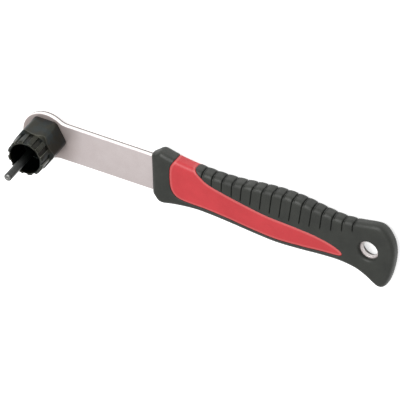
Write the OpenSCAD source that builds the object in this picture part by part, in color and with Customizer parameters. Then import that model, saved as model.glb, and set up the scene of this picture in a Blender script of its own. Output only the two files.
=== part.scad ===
// Cassette lockring tool: a splined socket with a guide pin on a flat steel arm,
// whose tang runs through a two-shot handle.
// Frame: the origin is the centre of the socket's mouth. +Z points out of the mouth along
// the guide pin, +X runs along the arm towards the handle, and +Y is the ribbed side.
// Sizes are in millimetres and angles in degrees.

/* [Arm] */
// Width of the flat bar
arm_w = 24.4; // [22:0.2:26]
// Thickness of the bar and its head
arm_t = 3.2; // [2.6:0.1:4]
// Radius of the rounded head
head_r = 15.3; // [15:0.1:17]
// Distance of the bar's middle line below the socket axis
arm_drop = 0.7; // [0:0.1:1.2]
// Radius of the hollow corners between the head and the bar
head_fillet_r = 10; // [6:1:16]
// Width of the tang inside the handle
tang_w = 20; // [18:0.5:21]

/* [Socket] */
// Distance across the flats of the six-sided base
hex_af = 24.4; // [24:0.2:26]
// Height of the six-sided base
hex_h = 17; // [14:0.1:18]
// Height of the whole socket, from the arm to the mouth
socket_h = 26; // [23:0.5:28]
// Diameter over the splines
spline_od = 23.4; // [23.2:0.05:23.6]
// Number of splines
spline_count = 12; // [12]
// Turn of the splines about the axis
spline_turn = 17; // [0:0.5:30]
// Height of a spline over the root
spline_depth = 1; // [0.8:0.05:1.2]
// Width of a spline at its tip
spline_w = 2.6; // [2.2:0.1:3]
// Diameter of the blind bore
bore_d = 19.8; // [19:0.1:20]
// Depth of the blind bore
bore_depth = 16; // [14:0.5:18]
// Diameter of the round spigot behind the base
spigot_d = 18; // [16:0.5:19]
// Distance across the spigot's two flats
spigot_flats = 14; // [12:0.5:15]

/* [Guide pin] */
// Diameter of the pin
pin_d = 4.8; // [4.6:0.1:5]
// Distance that the pin stands out past the mouth
pin_reach = 22; // [18:0.5:26]
// Diameter of the pressed shank
shank_d = 4; // [3.6:0.1:4.2]
// Length of the pressed shank
shank_len = 8; // [6:0.5:9]

/* [Handle] */
// Distance of the handle's front face from the socket axis
grip_x0 = 71.2; // [68:0.2:80]
// Length of the handle
grip_len = 161.8; // [158:0.2:166]
// Half of the handle's thickness behind the collar
grip_half_t = 5.2; // [4.8:0.1:6]
// Half of the handle's thickness at the tail
tail_half_t = 4.2; // [3.8:0.1:4.8]
// Half of the handle's thickness at the collar's front face
collar_half_t = 4.3; // [4:0.1:4.8]
// Radius of the handle's edges
edge_r = 3.4; // [2.6:0.1:3.8]
// Thickness of the soft skin over the hard core
skin_t = 1.5; // [1.3:0.1:1.6]
// Depth of the hard core's face below the skin in the window
window_step = 0.25; // [0.2:0.05:0.5]

/* [Ribs] */
// Number of grooves along the ribbed edge
groove_count = 16; // [12:1:16]
// Distance from one groove to the next
groove_pitch = 6.69; // [6:0.01:6.7]
// Distance of the first groove from the handle's front face
groove_start = 34; // [33:0.5:36]
// Width of a groove
groove_w = 1; // [0.8:0.1:1.6]
// Depth of a groove
groove_depth = 0.9; // [0.5:0.1:1.1]
// Length over which a groove runs out on the face
groove_fade = 3; // [1:0.5:5]

/* [Hanging hole] */
// Distance of the hole from the handle's tail end
hang_from_tail = 17.2; // [15:0.2:20]
// Distance of the hole below the arm's middle line
hang_drop = 2.6; // [1:0.1:3.5]
// Diameter of the hole in the steel
hang_d = 10.2; // [8:0.1:10.6]
// Diameter of the opening in the skin at the steel
hang_skin_d = 12.4; // [12:0.1:13]
// Radius of the skin's rounded lip around the hole
hang_lip_r = 2.1; // [1:0.1:2.4]

/* [Hidden] */

// Overlap of a cutter past the face that it cuts
over = 1;
// Half of a length that is longer than the handle is wide
reach = grip_len / 3;
// Centre of the hanging hole
hang_x = grip_x0 + grip_len - hang_from_tail;
hang_y = -arm_drop - hang_drop;

// Heights along the socket axis, where the mouth is at zero
arm_front = -socket_h;
arm_back = arm_front - arm_t;
arm_mid = arm_front - arm_t / 2;
hex_front = arm_front + hex_h;
bore_floor = -bore_depth;

// Steps in a turned part's circle
round_fn = 96;

// Socket
hex_r = hex_af / 2 / cos(30);
// Radius at which the turned chamfer meets the front of the base
hex_face_r = hex_af / 2 - 0.3;
// Fall of the turned chamfer for each millimetre outwards
hex_chamfer_fall = 1.05;
root_r = spline_od / 2 - spline_depth;
// Width of a spline at the root, wider than at the tip
spline_root_w = spline_w + 1;
mouth_chamfer = 0.5;
spigot_chamfer = 0.4;

// Guide pin
tip_chamfer = 0.8;
dimple_r = 0.9;
dimple_depth = 0.7;

// Arm
shoulder_x0 = grip_x0 + 6;
shoulder_len = 5;

// Edge profile of the handle: steps in each quarter round
edge_steps = 4;

// The handle's outline, as [distance from the front face, upper edge, lower edge], in
// millimetres for a handle of the drawn length. It stretches with grip_len.
drawn_len = 161.8;
front_upper = [-1, 14.2];
front_lower = [0.7, -14.6];
stations = [
    [4.6, 18.2, -17.4],
    [6.4, 18.5, -17.9],
    [9, 17.9, -18],
    [13, 16.9, -17],
    [21, 15.5, -15.6],
    [31, 14.5, -14.7],
    [43, 14, -15.2],
    [56, 14.5, -16.4],
    [70, 16.2, -17.9],
    [84, 17.5, -18.9],
    [98, 17.2, -18.3],
    [112, 15.2, -17.3],
    [125, 13.9, -17.1],
    [136, 14.8, -18.9],
    [143, 16.1, -22.2],
    [148, 17, -25.6],
    [151.6, 17.1, -27.1],
    [154.6, 15.8, -26.2],
    [157.2, 13.3, -22.6],
    [159.4, 9.8, -16.2],
    [161, 5.6, -8.8]
];
// The outermost point of the tail
tail_end = [161.8, -1];
// Steps from one station to the next
station_steps = 4;

// Half thickness of the handle along its length, as [distance from the front face, half]
thickness = [
    [0, collar_half_t],
    [5.4, grip_half_t],
    [100, grip_half_t],
    [140, tail_half_t + 0.1],
    [162, tail_half_t]
];

// The window's outline, as [distance from the front face, height] pairs: up the front
// side, which starts above the upper edge, along the lower side to the tip, and back
window_points = [
    [14, 24],
    [13.6, 18],
    [12.8, 13.5],
    [12.6, 8],
    [12.8, 1.5],
    [14, -4.8],
    [17.7, -9.2],
    [24.6, -10.6],
    [38, -11],
    [53, -12.4],
    [68, -14.3],
    [84, -15.5],
    [100, -14.6],
    [114, -13.4],
    [124, -12.5],
    [126.8, -11.4],
    [125.6, -9.4],
    [119, -6.4],
    [108, -3.3],
    [94, -2.0],
    [78, -1.0],
    [62, 1.7],
    [46, 5.2],
    [37.5, 7.8],
    [32.6, 11.2],
    [29, 14.5],
    [26.8, 18],
    [26, 24]
];
window_steps = 4;

// Height at which the grooves end on the face, as [distance from the front face, height]
groove_ends = [
    [34, 11.6],
    [41, 8.6],
    [54, 6],
    [72, 3.6],
    [92, 2.2],
    [106, 3.2],
    [120, 5],
    [134, 9.4]
];
// Lean of the grooves, as [distance from the front face, degrees]
groove_leans = [
    [34, 0],
    [54, 0],
    [62, 4],
    [95, 7],
    [110, 7],
    [135, 1]
];
// Height that the grooves turn about when they lean
groove_pivot = 16;

// Stretch of a drawn distance along the handle
function along(d) = grip_x0 + d * grip_len / drawn_len;

// A drawn point of the handle, as [distance from the front face, height over the arm's
// middle line], in its place
function placed(p) = [along(p[0]), p[1] - arm_drop];

// A point on the Catmull-Rom curve from b to c, where a and d are the points beside them
function curve_point(a, b, c, d, t) =
    0.5 * (2 * b + (c - a) * t + (2 * a - 5 * b + 4 * c - d) * t * t
        + (3 * b - a - 3 * c + d) * t * t * t);

// A smooth open curve through the points, with n steps from each to the next
function smooth(points, n) = [
    for (i = [0:len(points) - 2])
        let (a = points[max(i - 1, 0)], b = points[i])
        let (c = points[i + 1], d = points[min(i + 2, len(points) - 1)])
        for (k = [0:n - 1])
            curve_point(a, b, c, d, k / n),
    points[len(points) - 1]
];

// The handle's closed outline, clockwise: the front corner, the upper edge, the tail, the
// lower edge and the other front corner
upper = [for (s = stations) placed([s[0], s[1]])];
lower = [for (i = [len(stations) - 1:-1:0]) placed([stations[i][0], stations[i][2]])];
rim = smooth(concat(upper, [placed(tail_end)], lower), station_steps);
outline = concat([placed(front_upper)], rim, [placed(front_lower)]);
outline_n = len(outline);

// Unit vector to the left of the way from a to b, which is outwards on the outline
function left_of(a, b) = [a[1] - b[1], b[0] - a[0]] / norm(b - a);

// Outward offset direction at point i, long enough to move both its sides by one
function corner(i) =
    let (before = outline[(i + outline_n - 1) % outline_n])
    let (after = outline[(i + 1) % outline_n])
    let (n1 = left_of(before, outline[i]), n2 = left_of(outline[i], after))
    (n1 + n2) / (1 + n1 * n2);
corners = [for (i = [0:outline_n - 1]) corner(i)];

// Half thickness at a place along the handle
function half_at(x) = lookup((x - grip_x0) * drawn_len / grip_len, thickness);

// One closed ring of the handle's surface, depth below its skin, on the side (1 or -1), at
// the angle round the edge's radius: 0 is on the rim and 90 is on the face
function ring(depth, angle, side) = [
    for (i = [0:outline_n - 1])
        let (r = edge_r - depth)
        let (p = outline[i] - corners[i] * (edge_r - r * cos(angle)))
        let (z = half_at(p[0]) - edge_r + r * sin(angle))
        [p[0], p[1], arm_mid + side * z]
];

// The handle's body, depth below its skin all round
module handle_body(depth) {
    angles = [for (k = [0:edge_steps]) 90 * k / edge_steps];
    back_rings = [for (k = [edge_steps:-1:0]) ring(depth, angles[k], -1)];
    front_rings = [for (k = [0:edge_steps]) ring(depth, angles[k], 1)];
    rings = concat(back_rings, front_rings);
    points = [for (one = rings) each one];
    last = len(rings) - 1;
    n = outline_n;
    half_n = floor((n - 1) / 2);
    sides = [
        for (k = [0:last - 1])
            for (i = [0:n - 1])
                let (j = (i + 1) % n)
                each [
                    [k * n + i, k * n + j, (k + 1) * n + j],
                    [k * n + i, (k + 1) * n + j, (k + 1) * n + i]
                ]
    ];
    // Each face is a strip between the upper and the lower edge
    faces = [
        for (i = [0:half_n - 1])
            let (a = i, b = i + 1, c = n - 2 - i, d = n - 1 - i)
            each [
                [a, d, b],
                if (c != b) [d, c, b],
                [last * n + a, last * n + b, last * n + d],
                if (c != b) [last * n + d, last * n + b, last * n + c]
            ]
    ];
    polyhedron(points, concat(sides, faces), convexity = 8);
}

// The window's outline, cut right through the handle and open at its upper edge
module window_prism() {
    drawn = [for (p = window_points) placed(p)];
    translate([0, 0, arm_mid - reach])
        linear_extrude(2 * reach)
            polygon(smooth(drawn, window_steps));
}

// Thin slabs where the grooves are. Each leans, and slopes out of the face at its low end.
module groove_slabs() {
    for (i = [0:groove_count - 1]) {
        d = groove_start + i * groove_pitch;
        low = lookup(d, groove_ends) - groove_pivot;
        face = half_at(along(d));
        deep = face - groove_depth - over;
        pivot = placed([d, groove_pivot]);
        translate([pivot[0], pivot[1], arm_mid])
            rotate([0, 0, -lookup(d, groove_leans)])
                rotate([90, 0, 90])
                    translate([0, 0, -groove_w / 2])
                        linear_extrude(groove_w)
                            polygon([
                                [low, face],
                                [low + groove_fade, deep],
                                [low + groove_fade, -deep],
                                [low, -face],
                                [low, -reach],
                                [reach, -reach],
                                [reach, reach],
                                [low, reach]
                            ]);
    }
}

// Centre of the hollow corner's circle on a side (1 or -1), which touches both the bar's
// edge and the head around the socket axis
function corner_centre(side) =
    let (y = side * (arm_w / 2 + head_fillet_r) - arm_drop)
    [sqrt(pow(head_r + head_fillet_r, 2) - y * y), y];

// Points on an arc round a centre, from one angle to another
function arc(centre, r, start, end) =
    let (n = ceil(abs(end - start) * round_fn / 360))
    [
        for (k = [0:n])
            let (a = start + (end - start) * k / n)
            centre + r * [cos(a), sin(a)]
    ];

// The arm without its holes: the rounded head, the hollow corners, the bar, and the tang up
// to the hanging hole
module arm_blank() {
    mid = -arm_drop;
    above = corner_centre(1);
    below = corner_centre(-1);
    above_angle = atan2(above[1], above[0]);
    below_angle = atan2(below[1], below[0]);
    head = arc([0, 0], head_r, above_angle, 360 + below_angle);
    lower_corner = arc(below, head_fillet_r, 180 + below_angle, 90);
    lower_edge = [
        [shoulder_x0, mid - arm_w / 2],
        [shoulder_x0 + shoulder_len, mid - tang_w / 2]
    ];
    tang_end = arc([hang_x, mid], tang_w / 2, -90, 90);
    upper_edge = [
        [shoulder_x0 + shoulder_len, mid + tang_w / 2],
        [shoulder_x0, mid + arm_w / 2]
    ];
    upper_corner = arc(above, head_fillet_r, -90, above_angle - 180);
    // The corners' last points are the head's first and last, and are left out
    translate([0, 0, arm_back])
        linear_extrude(arm_t)
            polygon(concat(
                head,
                [for (k = [1:len(lower_corner) - 1]) lower_corner[k]],
                lower_edge,
                tang_end,
                upper_edge,
                [for (k = [0:len(upper_corner) - 2]) upper_corner[k]]
            ));
}

// The spigot's section: round, with two flats that keep the socket from turning
module spigot_section() {
    intersection() {
        circle(d = spigot_d, $fn = round_fn);
        square([2 * spigot_d, spigot_flats], center = true);
    }
}

module arm() {
    color("lightgray")
        difference() {
            arm_blank();
            translate([0, 0, arm_back - over])
                linear_extrude(arm_t + 2 * over)
                    spigot_section();
            translate([hang_x, hang_y, arm_back - over])
                cylinder(d = hang_d, h = arm_t + 2 * over, $fn = round_fn);
        }
}

// The six-sided base, with its front corners turned off
module hex_base() {
    intersection() {
        translate([0, 0, arm_front])
            cylinder(r = hex_r, h = hex_h, $fn = 6);
        rotate_extrude($fn = round_fn)
            polygon([
                [0, arm_front],
                [hex_r + over, arm_front],
                [hex_r + over, hex_front - (hex_r + over - hex_face_r) * hex_chamfer_fall],
                [hex_face_r, hex_front],
                [0, hex_front]
            ]);
    }
}

// The tube's section: twelve splines that taper from the root to the tip
module spline_section() {
    intersection() {
        circle(d = spline_od, $fn = 2 * round_fn);
        union() {
            circle(r = root_r, $fn = 2 * round_fn);
            for (k = [0:spline_count - 1])
                rotate(spline_turn + k * 360 / spline_count)
                    polygon([
                        [root_r - over, -spline_root_w / 2],
                        [root_r, -spline_root_w / 2],
                        [spline_od / 2, -spline_w / 2],
                        [spline_od / 2 + over, -spline_w / 2],
                        [spline_od / 2 + over, spline_w / 2],
                        [spline_od / 2, spline_w / 2],
                        [root_r, spline_root_w / 2],
                        [root_r - over, spline_root_w / 2]
                    ]);
        }
    }
}

// The splined tube, with its mouth turned to a small outer chamfer
module spline_tube() {
    tube_base = arm_front + hex_h / 2;
    intersection() {
        translate([0, 0, tube_base])
            linear_extrude(-tube_base)
                spline_section();
        rotate_extrude($fn = round_fn)
            polygon([
                [0, tube_base - over],
                [spline_od / 2 + over, tube_base - over],
                [spline_od / 2 + over, -mouth_chamfer - over],
                [spline_od / 2 - mouth_chamfer, 0],
                [0, 0]
            ]);
    }
}

module spigot() {
    intersection() {
        translate([0, 0, arm_back])
            linear_extrude(arm_t + over)
                spigot_section();
        translate([0, 0, arm_back])
            cylinder(
                r1 = spigot_d / 2 - spigot_chamfer,
                r2 = spigot_d / 2 - spigot_chamfer + arm_t + over,
                h = arm_t + over,
                $fn = round_fn
            );
    }
}

module splined_socket() {
    color("dimgray")
        difference() {
            union() {
                hex_base();
                spline_tube();
                spigot();
            }
            translate([0, 0, bore_floor])
                cylinder(d = bore_d, h = bore_depth + over, $fn = round_fn);
            translate([0, 0, -mouth_chamfer])
                cylinder(
                    d1 = bore_d,
                    d2 = bore_d + 4 * mouth_chamfer,
                    h = 2 * mouth_chamfer,
                    $fn = round_fn
                );
            translate([0, 0, bore_floor - shank_len])
                cylinder(d = shank_d, h = shank_len + over, $fn = round_fn);
        }
}

module guide_pin() {
    color("gray")
        rotate_extrude($fn = round_fn)
            polygon([
                [0, bore_floor - shank_len],
                [shank_d / 2, bore_floor - shank_len],
                [shank_d / 2, bore_floor],
                [pin_d / 2, bore_floor],
                [pin_d / 2, pin_reach - tip_chamfer],
                [pin_d / 2 - tip_chamfer, pin_reach],
                [dimple_r, pin_reach],
                [0, pin_reach - dimple_depth]
            ]);
}

// The hard core's body under the skin, which leaves room for the skin around the hole
module core_body() {
    difference() {
        handle_body(skin_t);
        translate([hang_x, hang_y, arm_mid - reach])
            cylinder(r = hang_skin_d / 2 + hang_lip_r + skin_t, h = 2 * reach, $fn = 48);
    }
}

// The opening through the skin, down to the steel, with a rounded lip on both faces
module hang_opening() {
    hole_r = hang_skin_d / 2;
    face = half_at(hang_x);
    lip = [
        for (k = [0:edge_steps])
            let (a = 90 * k / edge_steps)
            [hole_r + hang_lip_r * (1 - cos(a)), face - hang_lip_r * (1 - sin(a))]
    ];
    lip_r = hole_r + hang_lip_r;
    front_edge = concat(lip, [[lip_r, face + over], [0, face + over]]);
    back_edge = [for (k = [len(front_edge) - 1:-1:0]) [front_edge[k][0], -front_edge[k][1]]];
    translate([hang_x, hang_y, arm_mid])
        rotate_extrude($fn = 48)
            polygon(concat(back_edge, front_edge));
}

module grip_core() {
    color("firebrick")
        difference() {
            union() {
                core_body();
                intersection() {
                    handle_body(window_step);
                    window_prism();
                }
            }
            arm_blank();
        }
}

module grip_overmould() {
    color("darkslategray")
        difference() {
            union() {
                difference() {
                    handle_body(0);
                    groove_slabs();
                }
                handle_body(groove_depth);
            }
            window_prism();
            core_body();
            arm_blank();
            hang_opening();
        }
}

arm();
splined_socket();
guide_pin();
grip_core();
grip_overmould();
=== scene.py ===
"""A cassette lockring tool on a white studio floor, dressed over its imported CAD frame.

Lengths are written in millimetres and become metres when a mesh is made. The origin is the
centre of the socket's mouth, +Z runs out along the guide pin and +X towards the handle.
"""

import logging
import math
from dataclasses import dataclass, field
from enum import Enum
from typing import Optional

import bpy
import numpy as np
from mathutils import Matrix, Vector
from mathutils.geometry import delaunay_2d_cdt


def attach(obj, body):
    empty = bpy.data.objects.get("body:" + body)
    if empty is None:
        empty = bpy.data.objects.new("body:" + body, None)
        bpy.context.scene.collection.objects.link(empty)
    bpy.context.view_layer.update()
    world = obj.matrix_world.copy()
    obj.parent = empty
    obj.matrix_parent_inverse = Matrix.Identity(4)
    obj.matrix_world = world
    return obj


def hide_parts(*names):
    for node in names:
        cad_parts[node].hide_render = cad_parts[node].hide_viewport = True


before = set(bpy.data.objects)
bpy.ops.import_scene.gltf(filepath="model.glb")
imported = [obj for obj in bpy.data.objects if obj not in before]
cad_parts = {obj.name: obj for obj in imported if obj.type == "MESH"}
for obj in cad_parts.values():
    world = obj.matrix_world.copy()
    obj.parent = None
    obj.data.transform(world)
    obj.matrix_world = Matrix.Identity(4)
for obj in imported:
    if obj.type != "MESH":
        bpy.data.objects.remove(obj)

LOG = logging.getLogger("lockring_tool")
MM = 0.001
BODY = "root"


class Slot(Enum):
    """The record's material slots."""

    PLATED = "plated_steel"
    OXIDE = "black_oxide_steel"
    PIN = "pin_steel"
    RED = "red_plastic"
    RUBBER = "black_rubber"


# Plane curves and arrays


def linear(red: float, green: float, blue: float) -> tuple[float, float, float, float]:
    """Turn a colour of 0 to 255 steps into Blender's linear colour.

    Args:
        red: Red step.
        green: Green step.
        blue: Blue step.

    Returns:
        The colour with an alpha of one.
    """
    steps = np.array([red, green, blue]) / 255.0
    low = steps / 12.92
    high = ((steps + 0.055) / 1.055) ** 2.4
    return (*np.where(steps <= 0.04045, low, high).tolist(), 1.0)


def smoothstep(low: float, high: float, value: np.ndarray) -> np.ndarray:
    """Rise from 0 at low to 1 at high as 3t^2 - 2t^3."""
    t = np.clip((value - low) / (high - low), 0.0, 1.0)
    return t * t * (3.0 - 2.0 * t)


def catmull_rom(points: np.ndarray, steps: int) -> np.ndarray:
    """Carry a smooth open curve through points.

    Between b and c, with a and d beside them, the curve is half of
    2b + (c - a)t + (2a - 5b + 4c - d)t^2 + (3b - a - 3c + d)t^3.

    Args:
        points: The points as an (n, 2) array.
        steps: Steps from each point to the next.

    Returns:
        The curve's points.
    """
    padded = np.vstack([points[:1], points, points[-1:]])
    a, b, c, d = (padded[k : len(padded) - 3 + k, None, :] for k in range(4))
    t = (np.arange(steps) / steps)[None, :, None]
    curve = 0.5 * (
        2 * b + (c - a) * t + (2 * a - 5 * b + 4 * c - d) * t**2
        + (3 * b - a - 3 * c + d) * t**3
    )
    return np.vstack([curve.reshape(-1, 2), points[-1:]])


def resample(loop: np.ndarray, spacing: float) -> np.ndarray:
    """Place points evenly by arc length along a closed loop.

    Args:
        loop: The loop's points, without the first repeated.
        spacing: The wished distance between points.

    Returns:
        The evenly spaced points.
    """
    closed = np.vstack([loop, loop[:1]])
    run = np.concatenate([[0.0], np.cumsum(np.linalg.norm(np.diff(closed, axis=0), axis=1))])
    count = max(8, int(round(run[-1] / spacing)))
    at = np.linspace(0.0, run[-1], count, endpoint=False)
    return np.column_stack([np.interp(at, run, closed[:, k]) for k in range(2)])


def softened(loop: np.ndarray, sigma: float) -> np.ndarray:
    """Smooth a closed, evenly spaced loop with a bell-shaped window of sigma points."""
    reach = int(math.ceil(3 * sigma))
    offsets = np.arange(-reach, reach + 1)
    weights = np.exp(-0.5 * (offsets / sigma) ** 2)
    weights /= weights.sum()
    return sum(w * np.roll(loop, k, axis=0) for w, k in zip(weights, offsets))


def outward_normals(loop: np.ndarray) -> np.ndarray:
    """Unit normals of a closed loop: the chord between neighbours turned outwards."""
    chord = np.roll(loop, -1, axis=0) - np.roll(loop, 1, axis=0)
    chord /= np.linalg.norm(chord, axis=1, keepdims=True)
    x, y = loop.T
    area = np.sum(x * np.roll(y, -1) - y * np.roll(x, -1))
    side = 1.0 if area > 0 else -1.0
    return side * np.column_stack([chord[:, 1], -chord[:, 0]])


def within(points: np.ndarray, loop: np.ndarray) -> np.ndarray:
    """Tell which points lie in a loop, by counting its crossings of a ray along +X.

    Args:
        points: The points as an (n, 2) array.
        loop: The loop's points.

    Returns:
        A mask of the points inside.
    """
    ax, ay = loop.T
    bx, by = np.roll(loop, -1, axis=0).T
    inside = np.zeros(len(points), dtype=bool)
    for start in range(0, len(points), 4000):
        px, py = points[start : start + 4000].T
        spans = (ay[None] > py[:, None]) != (by[None] > py[:, None])
        rise = np.where(by == ay, 1e-12, by - ay)
        cross = ax[None] + (py[:, None] - ay[None]) * ((bx - ax) / rise)[None]
        inside[start : start + 4000] = np.sum(spans & (px[:, None] < cross), axis=1) % 2 == 1
    return inside


@dataclass
class Loop:
    """A closed plane curve that tells how far a point is outside it."""

    points: np.ndarray
    normals: np.ndarray = field(init=False)

    def __post_init__(self) -> None:
        """Work out the outward normals."""
        self.normals = outward_normals(self.points)

    def locate(self, plan: np.ndarray) -> tuple[np.ndarray, ...]:
        """Find each point's nearest place on the curve.

        Args:
            plan: The points as an (n, 2) array.

        Returns:
            The signed distance (positive outside), the nearest place, the outward normal
            there, and the place as a number of points along the loop.
        """
        count = len(self.points)
        nearest = np.empty(len(plan), dtype=int)
        for start in range(0, len(plan), 2000):
            part = plan[start : start + 2000]
            gap = ((part[:, None, :] - self.points[None]) ** 2).sum(axis=2)
            nearest[start : start + 2000] = gap.argmin(axis=1)
        best = np.full(len(plan), np.inf)
        foot = np.zeros_like(plan)
        normal = np.zeros_like(plan)
        place = np.zeros(len(plan))
        for shift in (-1, 0):
            i = (nearest + shift) % count
            j = (i + 1) % count
            a, b = self.points[i], self.points[j]
            along = b - a
            t = np.clip(((plan - a) * along).sum(axis=1) / (along**2).sum(axis=1), 0, 1)
            here = a + along * t[:, None]
            gap = np.linalg.norm(plan - here, axis=1)
            better = gap < best
            best = np.where(better, gap, best)
            foot[better] = here[better]
            mixed = self.normals[i] * (1 - t[:, None]) + self.normals[j] * t[:, None]
            normal[better] = mixed[better]
            place[better] = (i + t)[better]
        normal /= np.linalg.norm(normal, axis=1, keepdims=True)
        sign = np.where(((plan - foot) * normal).sum(axis=1) >= 0, 1.0, -1.0)
        return best * sign, foot, normal, place

    def offset(self, distance: float, step: float = 0.0) -> np.ndarray:
        """Points at a distance outside the curve.

        Args:
            distance: The distance, negative for inside.
            step: Length between the curve's points that are taken, less where the curve
                turns by more than 0.12 radians in that length. All are taken for 0.

        Returns:
            The points.
        """
        moved = self.points + self.normals * distance
        if not step:
            return moved
        run = np.linalg.norm(np.diff(self.points, axis=0), axis=1)
        turn = np.linalg.norm(np.diff(self.normals, axis=0), axis=1)
        steps = np.floor(np.cumsum(run / step + turn / 0.12))
        return moved[np.flatnonzero(np.diff(steps, prepend=-1.0) > 0)]


# Meshes


@dataclass
class Shell:
    """A closed surface as arrays of points (millimetres), faces and point values."""

    points: np.ndarray
    faces: list[np.ndarray]
    values: dict[str, np.ndarray] = field(default_factory=dict)

    def to_object(self, name: str, sharp: float = 32.0) -> bpy.types.Object:
        """Make the Blender object, smooth where faces meet at less than an angle.

        Args:
            name: The object's name.
            sharp: The angle in degrees past which an edge stays sharp.

        Returns:
            The object, with its place in its mesh.
        """
        mesh = bpy.data.meshes.new(name)
        faces = [row for block in self.faces for row in block.tolist()]
        mesh.from_pydata((self.points * MM).tolist(), [], faces)
        mesh.validate()
        mesh.update()
        mesh.shade_smooth()
        mesh.set_sharp_from_angle(angle=math.radians(sharp))
        for key, value in self.values.items():
            layer = mesh.attributes.new(key, "FLOAT", "POINT")
            layer.data.foreach_set("value", np.ascontiguousarray(value, dtype=np.float32))
        piece = bpy.data.objects.new(name, mesh)
        bpy.context.scene.collection.objects.link(piece)
        return piece


def wrapped_grid(rows: int, columns: int) -> np.ndarray:
    """Faces of a grid whose columns close round: (r, c), (r, c+1), (r+1, c+1), (r+1, c)."""
    r = np.arange(rows - 1)[:, None] * columns
    c = np.arange(columns)[None, :]
    d = (c + 1) % columns
    return np.stack([r + c, r + d, r + columns + d, r + columns + c], axis=-1).reshape(-1, 4)


def turned(radius: np.ndarray, height: np.ndarray, angle: np.ndarray) -> Shell:
    """Close a surface of rings round the Z axis, from its lowest pole to its highest.

    The point at row k and angle a is (R(k, a) cos a, R(k, a) sin a, H(k, a)), and each end
    ring is closed by a fan to one point on the axis.

    Args:
        radius: Radii as a (rows, columns) array.
        height: Heights as a (rows, columns) array.
        angle: The columns' angles.

    Returns:
        The closed surface, whose faces point outwards for rings given from the bottom up.
    """
    rows, columns = radius.shape
    ring = np.stack([radius * np.cos(angle), radius * np.sin(angle), height], axis=-1)
    poles = np.array([[0, 0, height[0].mean()], [0, 0, height[-1].mean()]])
    points = np.vstack([ring.reshape(-1, 3), poles])
    here = np.arange(columns)
    after = (here + 1) % columns
    low = np.column_stack([after, here, np.full(columns, rows * columns)])
    top = (rows - 1) * columns
    high = np.column_stack([top + here, top + after, np.full(columns, rows * columns + 1)])
    return Shell(points, [wrapped_grid(rows, columns), low, high])


def triangulated(
    points: np.ndarray, chains: list[np.ndarray]
) -> tuple[np.ndarray, np.ndarray]:
    """Join plane points into Delaunay triangles that keep the given chains as edges.

    Args:
        points: The points as an (n, 2) array.
        chains: Arrays of point numbers, each joined to the next. A closed chain repeats
            its first number.

    Returns:
        The points, with those added where chains cross, and the triangles.
    """
    edges = [np.column_stack([chain[:-1], chain[1:]]) for chain in chains]
    joined = np.vstack(edges).tolist() if edges else []
    found = delaunay_2d_cdt([Vector(p) for p in points.tolist()], joined, [], 0, 1e-5, False)
    flat = np.array([tuple(v) for v in found[0]])
    triangles = np.array([tuple(f) for f in found[2]])
    a, b, c = (flat[triangles[:, k]] for k in range(3))
    turn = np.cross(b - a, c - a)
    triangles = np.where(turn[:, None] < 0, triangles[:, ::-1], triangles)
    return flat, triangles[np.abs(turn) > 1e-9]


def open_edges(triangles: np.ndarray) -> np.ndarray:
    """Directed edges that only one triangle uses."""
    edges = np.vstack([triangles[:, [0, 1]], triangles[:, [1, 2]], triangles[:, [2, 0]]])
    size = int(edges.max()) + 1
    forward = edges[:, 0] * size + edges[:, 1]
    backward = edges[:, 1] * size + edges[:, 0]
    return edges[~np.isin(forward, backward)]


@dataclass
class PlanBuilder:
    """Collects plane points and chains for one triangulation."""

    points: list[np.ndarray] = field(default_factory=list)
    chains: list[np.ndarray] = field(default_factory=list)
    count: int = 0

    def add(self, points: np.ndarray, chain: bool = False, closed: bool = False) -> None:
        """Add points, and join them in order if they are a chain.

        Args:
            points: The points as an (n, 2) array.
            chain: Whether they are joined.
            closed: Whether the chain returns to its start.
        """
        numbers = np.arange(self.count, self.count + len(points))
        if chain:
            self.chains.append(np.append(numbers, numbers[0]) if closed else numbers)
        self.points.append(points)
        self.count += len(points)

    def build(self) -> tuple[np.ndarray, np.ndarray]:
        """Triangulate what was collected."""
        return triangulated(np.vstack(self.points), self.chains)


# Handle


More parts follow.
